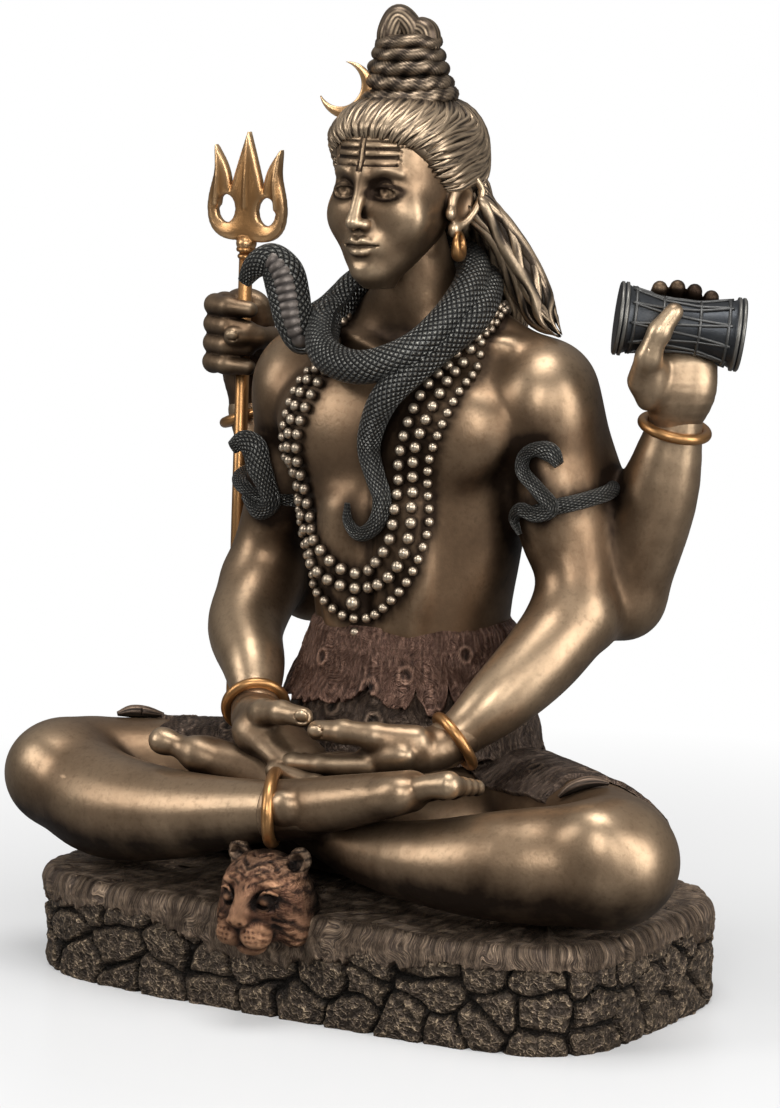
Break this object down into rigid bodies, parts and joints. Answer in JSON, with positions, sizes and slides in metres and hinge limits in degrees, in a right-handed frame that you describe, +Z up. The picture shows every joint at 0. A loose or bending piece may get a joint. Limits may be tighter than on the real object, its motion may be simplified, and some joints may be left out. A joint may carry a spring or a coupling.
{
  "type": "seated deity figurine",
  "caption": "Cold-cast bronze figurine: a four-armed deity seated cross-legged on a stone plinth, holding a trident and a small drum.",
  "frame": {"origin": "centre of the plinth's flat underside", "axes": "+Z up, -Y the way the figure faces, +X the figure's own left side"},
  "size_m": [0.2132, 0.1183, 0.2697],
  "materials": {
    "bronze": "rubbed brown bronze, dark in the hollows and light on the high places",
    "stone_patina": "dark brown patina with rubbed gold-brown grain",
    "gold_patina": "satin old gold",
    "slate_patina": "dark slate-blue patina"
  },
  "bodies": {
    "root": {"figure": "bronze", "rock_base": "stone_patina", "trident": "gold_patina", "drum": "slate_patina"}
  },
  "joints": []
}
